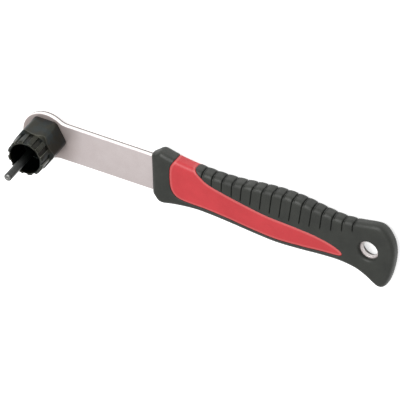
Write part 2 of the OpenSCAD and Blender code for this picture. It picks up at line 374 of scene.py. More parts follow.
@dataclass
class HandleForm:
    """The outside form that the handle's skin and core share.

    The form is unfolded onto a plane: inside the spine loop, which lies edge_r within the
    outline, a plane point is a point of the flat face. Outside it, at distance w, it is the
    point of the rounded edge at the angle w / edge_r from the face.
    """

    front_x: float = 71.2
    length: float = 161.8
    drop: float = 0.7
    middle_z: float = -27.6
    edge_r: float = 3.4
    front_corners: tuple[tuple[float, float], ...] = ((-1, 13.8), (0.7, -13.6))
    tail_end: tuple[float, float] = (161.8, -1)
    # Distance from the front face, upper edge, lower edge
    stations: tuple[tuple[float, float, float], ...] = (
        (4.6, 18.2, -17.4), (6.4, 18.5, -17.9), (9, 17.9, -18), (13, 16.9, -17),
        (21, 15.5, -15.6), (31, 14.5, -14.7), (43, 14, -15.2), (56, 14.5, -16.4),
        (70, 16.2, -17.9), (84, 17.5, -18.9), (98, 17.2, -18.3), (112, 15.2, -17.3),
        (125, 13.9, -17.1), (136, 14.8, -18.9), (143, 16.1, -22.2), (148, 17, -25.6),
        (151.6, 17.1, -27.1), (154.6, 15.8, -26.2), (157.2, 13.3, -22.6),
        (159.4, 9.8, -16.2), (161, 5.6, -8.8),
    )
    window: tuple[tuple[float, float], ...] = (
        (17.4, 24), (16.2, 18), (14.6, 14.6), (13, 11), (12.6, 7), (12.8, 1.5), (14, -4.8),
        (17.7, -9.2), (24.6, -10.6), (38, -11), (53, -12.4), (68, -14.3), (84, -15.5),
        (100, -14.6), (114, -13.4), (124, -12.9), (127, -12.1), (127.5, -10.3),
        (125.2, -8.3), (119, -5.7), (108, -3.3), (94, -2.0), (78, -1.0), (62, 1.7), (46, 5.2),
        (37.5, 7.8), (32.6, 11.2), (29, 14.5), (26.8, 18), (26, 24),
    )
    hole_from_tail: float = 17.2
    hole_drop: float = 2.6
    spine: Loop = field(init=False)
    swell: np.ndarray = field(init=False)
    opening: Loop = field(init=False)

    def __post_init__(self) -> None:
        """Work out the spine loop, its reach to the outline, and the window's loop."""
        table = np.array(self.stations)
        rim = np.vstack([table[:, [0, 1]], [self.tail_end], table[::-1][:, [0, 2]]])
        corners = np.array(self.front_corners)
        drawn = self.placed(np.vstack([corners[:1], catmull_rom(rim, 10), corners[1:]]))
        before = drawn - np.roll(drawn, 1, axis=0)
        after = np.roll(drawn, -1, axis=0) - drawn
        left = [
            np.column_stack([-run[:, 1], run[:, 0]]) / np.linalg.norm(run, axis=1)[:, None]
            for run in (before, after)
        ]
        share = 1 + (left[0] * left[1]).sum(axis=1, keepdims=True)
        inner = drawn - self.edge_r * (left[0] + left[1]) / share
        clear = Loop(resample(drawn, 0.1)).locate(inner)[0] < 0.08 - self.edge_r
        self.spine = Loop(softened(resample(inner[clear], 0.18), 3.2))
        reach = np.clip(self.reach_to(drawn) / self.edge_r, 1.0, 1.25)
        middle = np.split(np.convolve(np.tile(reach, 3), np.ones(5) / 5, "same"), 3)[1]
        self.swell = np.append(middle, middle[0])
        curve = catmull_rom(np.array(self.window), 12)
        self.opening = Loop(resample(self.unfolded(self.placed(curve)), 0.6))

    @property
    def roll(self) -> float:
        """Width of the unfolded rounded edge, from the face to the rim."""
        return self.edge_r * math.pi / 2

    @property
    def hole(self) -> np.ndarray:
        """Centre of the hanging hole."""
        return np.array([
            self.front_x + self.length - self.hole_from_tail,
            -self.drop - self.hole_drop,
        ])

    def reach_to(self, drawn: np.ndarray) -> np.ndarray:
        """Distance from each spine point along its normal to the drawn outline.

        The ray c + n u meets the side from a to b where u = (a - c) x (b - a) / n x (b - a).

        Args:
            drawn: The outline's points.

        Returns:
            The smallest such u past half the edge radius, for each spine point.
        """
        a = drawn[None]
        run = np.roll(drawn, -1, axis=0)[None] - a
        n, c = self.spine.normals[:, None], self.spine.points[:, None]
        across = n[..., 0] * run[..., 1] - n[..., 1] * run[..., 0]
        across = np.where(np.abs(across) < 1e-9, 1e-9, across)
        to = a - c
        u = (to[..., 0] * run[..., 1] - to[..., 1] * run[..., 0]) / across
        v = (to[..., 0] * n[..., 1] - to[..., 1] * n[..., 0]) / across
        hits = (v >= -1e-6) & (v <= 1 + 1e-6) & (u > self.edge_r / 2)
        return np.where(hits, u, np.inf).min(axis=1)

    def placed(self, points: np.ndarray) -> np.ndarray:
        """Move points from the handle's drawing to the shared frame."""
        return points + np.array([self.front_x, -self.drop])

    def unfolded(self, points: np.ndarray) -> np.ndarray:
        """Unfold points seen from the front: w is edge_r times the arcsine of d / edge_r.

        Args:
            points: Points of the front view, where d is their distance past the spine.

        Returns:
            The points on the unfolded plane.
        """
        d, foot, normal, _ = self.spine.locate(points)
        turn = np.arcsin(np.clip(d / self.edge_r, 0, 1))
        past = np.clip(d - self.edge_r, 0, None)
        far = foot + normal * (self.edge_r * turn + past)[:, None]
        return np.where(d[:, None] > 0, far, points)

    def half(self, x: np.ndarray) -> np.ndarray:
        """Half thickness along X: the collar's slope, the body and the thinner tail."""
        d = x - self.front_x
        collar = np.interp(d, [0, 6.0, 6.6], [3.9, 5.15, 5.2])
        return collar - 1.0 * np.interp(d, [96, 104, 136, 144, 162], [0, 0.02, 0.86, 0.92, 1])

    def lifted(
        self, plan: np.ndarray, depth: np.ndarray, side: int
    ) -> np.ndarray:
        """Lift unfolded points to the form, depth below its skin.

        The skin point is foot + n s edge_r sin p at the height half - edge_r + edge_r cos p,
        with p = w / edge_r, and depth goes in along (n sin p, cos p). The swell s is one,
        and more at the collar's corners, where it fills them out to the drawn outline.

        Args:
            plan: The unfolded points.
            depth: Depth of each below the skin.
            side: 1 for the front and -1 for the back.

        Returns:
            The points in the shared frame.
        """
        w, foot, normal, place = self.spine.locate(plan)
        p = np.clip(w / self.edge_r, 0, math.pi / 2)
        swell = np.interp(place, np.arange(len(self.swell)), self.swell)
        swing = (self.edge_r * swell - depth) * np.sin(p)
        flat = np.where(w[:, None] > 0, foot + normal * swing[:, None], plan)
        rise = self.half(flat[:, 0]) - self.edge_r + (self.edge_r - depth) * np.cos(p)
        return np.column_stack([flat, self.middle_z + side * rise])

    def rim_loop(self) -> np.ndarray:
        """Unfolded points of the rim."""
        return self.spine.offset(self.roll, 0.9)

    def paired(self, plan: np.ndarray, triangles: np.ndarray) -> np.ndarray:
        """Join a front and a back copy of a plan's triangles along the rim.

        Args:
            plan: The unfolded points.
            triangles: The plan's triangles.

        Returns:
            Triangles whose back copy's point numbers come after the front's.
        """
        count = len(plan)
        edges = open_edges(triangles)
        middle = plan[edges].mean(axis=1)
        rim = self.spine.locate(middle)[0] > self.roll - 0.7
        rim &= np.abs(self.opening.locate(plan)[0])[edges].max(axis=1) > 0.02
        a, b = edges[rim].T
        wall = np.vstack([
            np.column_stack([b, a, a + count]), np.column_stack([b, a + count, b + count])
        ])
        return np.vstack([triangles, triangles[:, ::-1] + count, wall])


@dataclass
class Handle:
    """The two-shot handle: a hard core in a soft skin with a ribbed upper edge."""

    form: HandleForm
    skin: float = 1.5
    window_step: float = 0.25
    lip: float = 0.55
    groove_count: int = 16
    groove_pitch: float = 6.69
    groove_start: float = 34.0
    groove_half: float = 0.36
    groove_depth: float = 0.7
    pillow: float = 0.4
    fade: float = 2.0
    end_drop: float = 2.6
    fine_depth: float = 0.3
    fine_dark: float = 0.95
    fine_half: float = 0.33
    fine_at: float = 1.15
    pivot: float = 16.0
    hole_r: float = 6.2
    hole_lip: float = 2.1
    core_hole_r: float = 9.8
    ends: tuple[tuple[float, float], ...] = (
        (34, 11.6), (41, 8.6), (54, 6), (72, 3.6), (92, 2.2), (106, 3.2), (120, 5),
        (134, 9.4),
    )
    leans: tuple[tuple[float, float], ...] = (
        (34, 0), (54, 0), (62, 4), (95, 7), (110, 7), (135, 1),
    )

    @property
    def grooves(self) -> np.ndarray:
        """Distances of the grooves from the front face."""
        return self.groove_start + self.groove_pitch * np.arange(self.groove_count)

    def lean(self, d: np.ndarray) -> np.ndarray:
        """Lean of a groove in radians."""
        return np.radians(np.interp(d, *np.array(self.leans).T))

    def low_end(self, d: np.ndarray) -> np.ndarray:
        """Height at which a groove ends on the face."""
        return np.interp(d, *np.array(self.ends).T) - self.end_drop

    def across(self, plan: np.ndarray) -> tuple[np.ndarray, np.ndarray]:
        """Place points among the grooves.

        Args:
            plan: Unfolded points.

        Returns:
            The signed distance to the nearest groove's line, positive towards the tail, and
            the height over that line's low end.
        """
        drawn = plan - np.array([self.form.front_x, -self.form.drop])
        d = self.grooves[None, :]
        turn = self.lean(d)
        gap = (drawn[:, :1] - d) * np.cos(turn) - (drawn[:, 1:] - self.pivot) * np.sin(turn)
        nearest = np.abs(gap).argmin(axis=1)
        rows = np.arange(len(plan))
        return gap[rows, nearest], drawn[:, 1] - self.low_end(self.grooves[nearest])

    def ribbing(self, plan: np.ndarray) -> tuple[np.ndarray, np.ndarray]:
        """Depth of the ribbed edge's relief.

        A groove is groove_depth (1 - (e / h)^2) deep at e from its line, and the rib between
        two falls by pillow (1 - 2e / pitch)^2.4 towards them. On the rounded edge h is
        wider, and a fine line runs beside each groove at fine_at from it.

        Args:
            plan: Unfolded points.

        Returns:
            The depth of each point, and how much it is in a groove, from 0 to 1.
        """
        gap, rise = self.across(plan)
        w = self.form.spine.locate(plan)[0]
        on_roll = smoothstep(-1.0, 3.4, w)
        half = self.groove_half * (0.9 + 0.55 * on_roll)
        shape = np.clip(1 - (gap / half) ** 2, 0, 1)
        reach = smoothstep(0.0, self.fade, rise)
        middle = np.clip(1 - np.abs(gap) / (self.groove_pitch / 2), 0, 1)
        pillow = self.pillow * middle**2.4 * (0.35 + 0.75 * on_roll)
        end = (np.abs(gap) < self.groove_pitch / 2 + 0.3).astype(float)
        fine = np.clip(1 - (np.abs(gap - self.fine_at) / self.fine_half) ** 2, 0, 1)
        fine = fine * smoothstep(0.0, 3.0, w)
        depth = self.groove_depth * shape + pillow * end + self.fine_depth * fine
        # the second value is the mask of the painted shade in the grooves and fine lines
        return depth * reach, np.maximum(shape, self.fine_dark * fine) * reach

    def around_hole(self, plan: np.ndarray) -> np.ndarray:
        """Distance of points from the hanging hole's centre."""
        return np.linalg.norm(plan - self.form.hole, axis=1)

    def hole_drop(self, rho: np.ndarray) -> np.ndarray:
        """Depth of the hole's rounded lip: R - sqrt(R^2 - (R + r - rho)^2), then a wall."""
        edge = self.hole_r + self.hole_lip
        fall = np.clip(edge - rho, 0, self.hole_lip)
        lip = self.hole_lip - np.sqrt(self.hole_lip**2 - fall**2)
        return lip + np.clip((self.hole_r - rho) / 0.05, 0, 1) * 0.52

    def base_plan(self, plan: PlanBuilder, ribbed: bool) -> None:
        """Add the rim and the rings of the rounded edge.

        Args:
            plan: The builder to add to.
            ribbed: Whether the ribbed stretch is left for the groove lines.
        """
        form = self.form
        rim = form.rim_loop()
        plan.add(rim, chain=True, closed=True)
        for share in np.linspace(0, 1, 9)[:-1]:
            ring = form.spine.offset(form.roll * share, 0.9)
            if ribbed:
                gap, rise = self.across(ring)
                free = (np.abs(gap) > self.groove_pitch * 0.52) | (rise < -0.5)
                ring = ring[free]
            plan.add(ring)

    def face_points(self, spacing: float) -> np.ndarray:
        """A staggered grid of points over the flat face."""
        low = self.form.spine.points.min(axis=0)
        high = self.form.spine.points.max(axis=0)
        x, y = np.meshgrid(
            np.arange(low[0], high[0], spacing), np.arange(low[1], high[1], spacing * 0.87)
        )
        x = x + (np.arange(len(x)) % 2 * spacing / 2)[:, None]
        points = np.column_stack([x.ravel(), y.ravel()])
        return points[self.form.spine.locate(points)[0] < -spacing * 0.6]

    def groove_lines(self) -> list[np.ndarray]:
        """Plane lines along the grooves and ribs, from their low ends past the rim."""
        gaps = np.array([0, 0.25, 0.45, 0.62, 0.82, 1.15, 1.48, 1.8, 2.5, 3.345])
        lines = []
        for d in self.grooves:
            turn = float(self.lean(d))
            low = float(self.low_end(d)) - 0.6
            heights = np.arange(low, 26.0, 0.62)
            for gap in np.concatenate([-gaps[:0:-1], gaps]):
                x = d + gap / math.cos(turn)
                x = x + (heights - self.pivot) * math.tan(turn)
                line = self.form.placed(np.column_stack([x, heights]))
                w = self.form.spine.locate(line)[0]
                stop = int(np.argmax(w > self.form.roll)) + 1
                if w[stop - 1] > self.form.roll:
                    lines.append(line[:stop])
        return lines

    def skin_plan(self) -> tuple[np.ndarray, np.ndarray]:
        """Triangulate the unfolded skin, less the window and the hanging hole."""
        form = self.form
        plan = PlanBuilder()
        self.base_plan(plan, ribbed=True)
        for line in self.groove_lines():
            plan.add(line, chain=True)
        plan.add(form.opening.points, chain=True, closed=True)
        for ring in (0.05, 0.13, 0.25, 0.4, 0.56, 1.1):
            near = form.opening.offset(ring)
            plan.add(near[form.spine.locate(near)[0] < form.roll - 0.1])
        circle = np.linspace(0, 2 * math.pi, 72, endpoint=False)
        ring = np.column_stack([np.cos(circle), np.sin(circle)])
        falls = self.hole_lip * (1 - np.cos(np.linspace(0, math.pi / 2, 10)))
        radii = np.concatenate([[self.hole_r - 0.05], self.hole_r + falls, [9.2]])
        for k, radius in enumerate(radii):
            plan.add(form.hole + ring * radius, chain=k < 2, closed=True)
        grid = self.face_points(1.6)
        gap, rise = self.across(grid)
        clear = (np.abs(gap) > self.groove_pitch * 0.55) | (rise < -0.9)
        clear &= form.opening.locate(grid)[0] > 1.6
        clear &= self.around_hole(grid) > 9.9
        plan.add(grid[clear])
        flat, triangles = plan.build()
        middle = flat[triangles].mean(axis=1)
        keep = within(middle, form.rim_loop())
        keep &= ~within(middle, form.opening.points)
        keep &= self.around_hole(middle) > self.hole_r - 0.051
        return compacted(flat, triangles[keep])

    def build_skin(self) -> Shell:
        """The soft skin: its relief outside, a plain shell inside, and walls between."""
        form = self.form
        plan, triangles = self.skin_plan()
        outer = form.paired(plan, triangles)
        relief, groove = self.ribbing(plan)
        s = np.clip(form.opening.locate(plan)[0], 0, self.lip)
        lip = self.lip - np.sqrt(np.clip(self.lip**2 - (self.lip - s) ** 2, 0, None))
        rho = self.around_hole(plan)
        drop = np.maximum(relief, lip) + self.hole_drop(rho)
        front, back = (form.lifted(plan, drop, side) for side in (1, -1))
        near = rho < self.core_hole_r
        inner_plan = np.where(
            near[:, None],
            form.hole + (plan - form.hole) / rho[:, None]
            * (8.9 + 0.25 * (rho - self.hole_r))[:, None],
            plan,
        )
        deep = np.full(len(plan), self.skin)
        inner = [form.lifted(inner_plan, deep, side) for side in (1, -1)]
        count = 2 * len(plan)
        a, b = open_edges(outer).T
        wall = np.column_stack([b, a, a + count, b + count])
        points = np.vstack([front, back, *inner])
        return Shell(
            # 'groove' carries the mask of the painted groove shade
            points, [outer, outer[:, ::-1] + count, wall], {"groove": np.tile(groove, 4)}
        )

    def core_plan(self) -> tuple[np.ndarray, np.ndarray]:
        """Triangulate the unfolded core, less the room around the hanging hole."""
        form = self.form
        plan = PlanBuilder()
        self.base_plan(plan, ribbed=False)
        plan.add(form.opening.points, chain=True, closed=True)
        for ring in (-2.0, -1.4, -1.0, -0.75, -0.5, -0.3, -0.15, 0.06, 0.8):
            near = form.opening.offset(ring)
            plan.add(near[form.spine.locate(near)[0] < form.roll - 0.1])
        circle = np.linspace(0, 2 * math.pi, 60, endpoint=False)
        ring = np.column_stack([np.cos(circle), np.sin(circle)])
        plan.add(form.hole + ring * self.core_hole_r, chain=True, closed=True)
        grid = self.face_points(2.0)
        clear = np.abs(form.opening.locate(grid)[0] + 0.6) > 2.0
        clear &= self.around_hole(grid) > self.core_hole_r + 0.8
        plan.add(grid[clear])
        flat, triangles = plan.build()
        middle = flat[triangles].mean(axis=1)
        keep = within(middle, form.rim_loop())
        keep &= self.around_hole(middle) > self.core_hole_r - 0.02
        return compacted(flat, triangles[keep])

    def build_core(self) -> Shell:
        """The hard core: its window stands just below the skin, the rest lies under it."""
        form = self.form
        plan, triangles = self.core_plan()
        s = form.opening.locate(plan)[0]
        edge = 0.42 * np.clip(1 + s / 0.95, 0, 1) ** 2.2
        step = np.clip(s / 0.06, 0, 1)
        drop = (self.window_step + edge) * (1 - step) + self.skin * step
        front, back = (form.lifted(plan, drop, side) for side in (1, -1))
        pair = form.paired(plan, triangles)
        count = len(plan)
        edges = open_edges(triangles)
        a, b = edges[(self.around_hole(plan) < self.core_hole_r + 0.2)[edges].all(axis=1)].T
        wall = np.column_stack([b, a, a + count, b + count])
        # painted highlight: a pale band just inside the window's edge, where its rounded lip
        # would catch the light
        painted_rim_highlight = smoothstep(-1.9, -0.9, s) * smoothstep(-0.15, -0.6, s)
        return Shell(np.vstack([front, back]), [pair, wall], {"edge": np.tile(painted_rim_highlight, 2)})


def compacted(points: np.ndarray, faces: np.ndarray) -> tuple[np.ndarray, np.ndarray]:
    """Leave out the points that no face uses, and renumber the faces."""
    used = np.unique(faces)
    number = np.zeros(len(points), dtype=int)
    number[used] = np.arange(len(used))
    return points[used], number[faces]


# Steel pieces


@dataclass
class Arm:
    """The flat steel arm with its rounded head, hollow corners and tang."""

    form: HandleForm
    width: float = 24.4
    thickness: float = 3.2
    head_r: float = 15.3
    corner_r: float = 10.0
    tang_w: float = 20.0
    shoulder_x: float = 77.2
    shoulder_len: float = 5.0
    spigot_r: float = 9.0
    spigot_flat: float = 7.0
    hang_r: float = 5.1
    edge: float = 0.45

    def arc(
        self, centre: tuple[float, float], radius: float, start: float, end: float
    ) -> np.ndarray:
        """Points every two degrees or so on the arc c + r (cos a, sin a)."""
        count = max(2, int(abs(end - start) / math.radians(2)))
        a = np.linspace(start, end, count)
        return np.array(centre) + radius * np.column_stack([np.cos(a), np.sin(a)])

    def outline(self) -> Loop:
        """The arm's outline: head, lower corner, lower edge, tang end, and back."""
        mid = -self.form.drop
        half, tang = self.width / 2, self.tang_w / 2
        centres = []
        for side in (1, -1):
            y = side * (half + self.corner_r) + mid
            centres.append((math.sqrt((self.head_r + self.corner_r) ** 2 - y * y), y))
        up, down = (math.atan2(c[1], c[0]) for c in centres)
        bar = self.shoulder_x + self.shoulder_len
        parts = [
            self.arc((0, 0), self.head_r, up, 2 * math.pi + down),
            self.arc(centres[1], self.corner_r, math.pi + down, math.pi / 2)[1:],
            np.array([[self.shoulder_x, mid - half], [bar, mid - tang]]),
            self.arc((self.form.hole[0], mid), tang, -math.pi / 2, math.pi / 2),
            np.array([[bar, mid + tang], [self.shoulder_x, mid + half]]),
            self.arc(centres[0], self.corner_r, -math.pi / 2, up - math.pi)[:-1],
        ]
        return Loop(resample(np.vstack(parts), 0.8))

    def spigot_loop(self) -> Loop:
        """The spigot hole's outline: the circle, cut by two flats."""
        a = np.linspace(0, 2 * math.pi, 96, endpoint=False)
        y = np.clip(self.spigot_r * np.sin(a), -self.spigot_flat, self.spigot_flat)
        return Loop(np.column_stack([self.spigot_r * np.cos(a), y]))

    def build(self) -> Shell:
        """The plate: its edges fall by R - sqrt(R^2 - (R - w)^2) at w from them."""
        outline, spigot = self.outline(), self.spigot_loop()
        hang = Loop(self.arc(tuple(self.form.hole), self.hang_r, 0, 2 * math.pi)[:-1])
        holes = (spigot, hang)
        plan = PlanBuilder()
        insets = self.edge * (1 - np.cos(np.linspace(0, math.pi / 2, 6)))
        for k, inset in enumerate(insets):
            plan.add(outline.offset(-inset), chain=k in (0, 5), closed=True)
            for hole in holes:
                plan.add(hole.offset(inset), chain=k in (0, 5), closed=True)
        flat, triangles = plan.build()
        middle = flat[triangles].mean(axis=1)
        keep = within(middle, outline.points)
        for hole in holes:
            keep &= ~within(middle, hole.points)
        flat, triangles = compacted(flat, triangles[keep])
        w = -outline.locate(flat)[0]
        for hole in holes:
            w = np.minimum(w, hole.locate(flat)[0])
        w = np.clip(w, 0, self.edge)
        fall = self.edge - np.sqrt(np.clip(self.edge**2 - (self.edge - w) ** 2, 0, None))
        rise = self.thickness / 2 - fall
        points = [
            np.column_stack([flat, self.form.middle_z + side * rise]) for side in (1, -1)
        ]
        count = len(flat)
        a, b = open_edges(triangles).T
        wall = np.column_stack([b, a, a + count, b + count])
        # near is 1 at the outline and 0 on the face; as 'side' it carries the painted reflection
        # on the side walls, and as 'edge', on the back copy only, the painted shade line along
        # the back edge
        near = 1 - smoothstep(0, self.edge, w)
        value = {"edge": np.concatenate([0 * near, near]), "side": np.tile(near, 2)}
        return Shell(np.vstack(points), [triangles, triangles[:, ::-1] + count, wall], value)


@dataclass
class Socket:
    """The splined socket: six-sided base, splined tube, blind bore and spigot."""

    across_flats: float = 24.4
    hex_height: float = 17.0
    height: float = 26.0
    plate: float = 3.2
    face_r: float = 11.9
    chamfer_fall: float = 1.05
    corner_soft: float = 0.5
    spline_r: float = 11.7
    spline_depth: float = 1.0
    spline_count: int = 12
    spline_turn: float = 17.0
    spline_w: float = 2.6
    bore_r: float = 9.9
    bore_depth: float = 16.0
    mouth_chamfer: float = 0.5
    spigot_r: float = 8.93
    spigot_flat: float = 6.93
    shank_r: float = 2.4

    def hexagon(self, angle: np.ndarray, inset: float) -> np.ndarray:
        """Radius of the hexagon with rounded corners: a soft minimum of its six planes."""
        apothem = self.across_flats / 2 - inset
        turn = (angle + math.pi / 6) % (math.pi / 3) - math.pi / 6
        sharp = apothem / np.cos(math.pi / 6 - np.abs(turn))
        corner = apothem / math.cos(math.pi / 6) - self.corner_soft
        return -np.logaddexp(-sharp * 6, -corner * 6) / 6

    def splines(self, angle: np.ndarray) -> np.ndarray:
        """Radius of the splined tube: root + depth times a soft trapezium in the angle."""
        pitch = 2 * math.pi / self.spline_count
        turn = (angle - math.radians(self.spline_turn) + pitch / 2) % pitch - pitch / 2
        arc = np.abs(turn) * (self.spline_r - self.spline_depth / 2)
        half = self.spline_w / 2 + 0.25
        tooth = 1 - smoothstep(half - 0.32, half + 0.32, arc)
        return self.spline_r - self.spline_depth * (1 - tooth)

    def build(self) -> Shell:
        """Rings from the spigot's end up the outside, over the mouth and down the bore."""
        columns = 960
        a = np.linspace(0, 2 * math.pi, columns, endpoint=False)
        one = np.ones(columns)
        foot, back = -self.height, -self.height - self.plate
        front = foot + self.hex_height
        spigot = np.minimum(
            self.spigot_r, self.spigot_flat / np.maximum(np.abs(np.sin(a)), 1e-6)
        )
        hexagon, splines = self.hexagon(a, 0), self.splines(a)
        shoulder = front - np.maximum(hexagon - self.face_r, 0) * self.chamfer_fall
        rings: list[tuple[np.ndarray, np.ndarray]] = [
            (0.3 * one, back * one),
            (spigot - 0.4, back * one),
            (spigot - 0.35, (back + 0.01) * one),
            (spigot, (back + 0.4) * one),
            (spigot, (foot - 0.02) * one),
            (spigot + 0.05, foot * one),
            (hexagon - 0.3, foot * one),
            (hexagon - 0.09, (foot + 0.09) * one),
            (hexagon, (foot + 0.3) * one),
        ]
        for share in (0.3, 0.6, 0.9, 0.97):
            rings.append((hexagon, foot + 0.3 + (shoulder - foot - 0.3) * share))
        for share in (0, 0.03, 0.1, 0.5, 0.9, 0.97):
            radius = hexagon + (np.minimum(self.face_r, hexagon) - hexagon) * share
            rings.append((radius, shoulder + (front - shoulder) * share))
        face = np.minimum(self.face_r, hexagon) - 0.04
        soft = 0.35
        rings.append((face, front * one))
        for turn in np.linspace(0, math.pi / 2, 5):
            rings.append((
                np.minimum(splines + soft * (1 - math.sin(turn)), face - 0.02),
                (front + soft * (1 - math.cos(turn))) * one,
            ))
        mouth = self.mouth_chamfer
        top = splines - 0.32 * (splines - 10.7)
        for share in (0.35, 0.7, 1.0):
            rings.append((splines, (front + soft + (-mouth - front - soft) * share) * one))
        for turn in np.linspace(0, math.pi / 2, 6)[1:]:
            rings.append((
                top - mouth * (1 - math.cos(turn)) + (splines - top) * (1 - turn / 1.571),
                (-mouth * (1 - math.sin(turn))) * one,
            ))
        inside = self.bore_r
        rings += [
            ((inside + 0.18) * one, 0 * one),
            ((inside + 0.05) * one, -0.05 * one),
            (inside * one, -0.2 * one),
        ]
        for share in (0.25, 0.5, 0.75, 0.985):
            rings.append((inside * one, -self.bore_depth * share * one))
        rings += [
            ((inside - 0.25) * one, -self.bore_depth * one),
            (6.0 * one, -self.bore_depth * one),
            ((self.shank_r - 0.2) * one, -self.bore_depth * one),
        ]
        radius = np.stack([ring[0] for ring in rings])
        height = np.stack([ring[1] for ring in rings])
        shell = turned(radius, height, a)
        depth = np.concatenate([height.ravel(), [back, -self.bore_depth]])
        row = np.repeat(np.arange(len(rings)), columns)
        bore_rows = 10
        seam_rows, shoulder_rows = slice(4, 8), slice(13, 15)
        spline_rows, mouth_rows = slice(20, 28), slice(-12, -10)
        # painted shade: the rows down the bore, whose colour is darkened
        inner = np.concatenate([(row >= len(rings) - bore_rows).astype(float), [0, 1]])
        slope = np.abs(np.roll(splines, -1) - np.roll(splines, 1))
        edged = np.clip(slope / slope.max(), 0, 1) * (splines > self.spline_r - 0.45)
        onto = [0.0] * (len(rings) - 21) + [0.25, 0.6, 0.6, 0.6] + [0.9] * 5 + [0.5]
        onto += [0.0] * (len(rings) - len(onto))
        rim = np.zeros(len(rings))
        rim[shoulder_rows] = 0.4
        rim[mouth_rows] = 0.55
        wear = edged[None] * np.array(onto)[:, None] + rim[:, None]
        # painted shade: darker spline roots near the mouth, and darker rows at the foot where the
        # socket stands on the arm
        root = np.clip((self.spline_r - splines) / self.spline_depth, 0, 1)
        sunk = np.zeros(len(rings))
        sunk[spline_rows] = 0.6
        foot_shade = np.zeros(len(rings))
        foot_shade[seam_rows] = 0.85
        shade = root[None] * sunk[:, None] + foot_shade[:, None]
        shell.values = {
            "inner": np.clip(inner * smoothstep(0.2, -2.5, depth), 0, 1),
            "wear": np.append(np.clip(wear, 0, 1).ravel(), [0, 0]),
            "shade": np.append(shade.ravel(), [0, 0]),
        }
        return shell


@dataclass
class GuidePin:
    """The plain guide pin with its chamfered, dimpled tip."""

    radius: float = 2.4
    reach: float = 22.0
    floor: float = -16.0
    shank: float = -24.0
    shank_r: float = 2.0
    chamfer: float = 0.8
    dimple_r: float = 0.9
    dimple_depth: float = 0.7

    def build(self) -> Shell:
        """Carry the pin's profile once round its axis."""
        profile = np.array([
            [0.2, self.shank], [self.shank_r - 0.1, self.shank],
            [self.shank_r, self.shank + 0.1], [self.shank_r, self.floor - 0.05],
            [self.radius, self.floor], [self.radius, -11.0], [self.radius, -7.0],
            [self.radius, -3.5], [self.radius, 0.0], [self.radius, 3.5],
            [self.radius, 7.0], [self.radius, 10.5], [self.radius, 14.0],
            [self.radius, 17.5],
            [self.radius, self.reach - self.chamfer - 0.12],
            [self.radius - 0.03, self.reach - self.chamfer],
            [self.radius - 0.1, self.reach - self.chamfer + 0.1],
            [self.radius - self.chamfer + 0.06, self.reach - 0.06],
            [self.radius - self.chamfer - 0.05, self.reach],
            [self.dimple_r + 0.06, self.reach], [self.dimple_r - 0.04, self.reach - 0.06],
            [self.dimple_r * 0.45, self.reach - self.dimple_depth * 0.62],
            [0.08, self.reach - self.dimple_depth],
        ])
        a = np.linspace(0, 2 * math.pi, 128, endpoint=False)
        one = np.ones(128)
        shell = turned(profile[:, :1] * one, profile[:, 1:] * one, a)
        height = shell.points[:, 2]
        shell.values = {
            # painted shade: 0 deep in the bore, where the pin is darkest, rising to 1 near the
            # tip
            "painted_shade_fade": smoothstep(-8.0, 18.0, height),
            # painted highlight: the tip's chamfer, face and dimple take a paler colour
            "tip": smoothstep(self.reach - self.chamfer - 0.1, self.reach - 0.3, height),
        }
        return shell


# Finishes


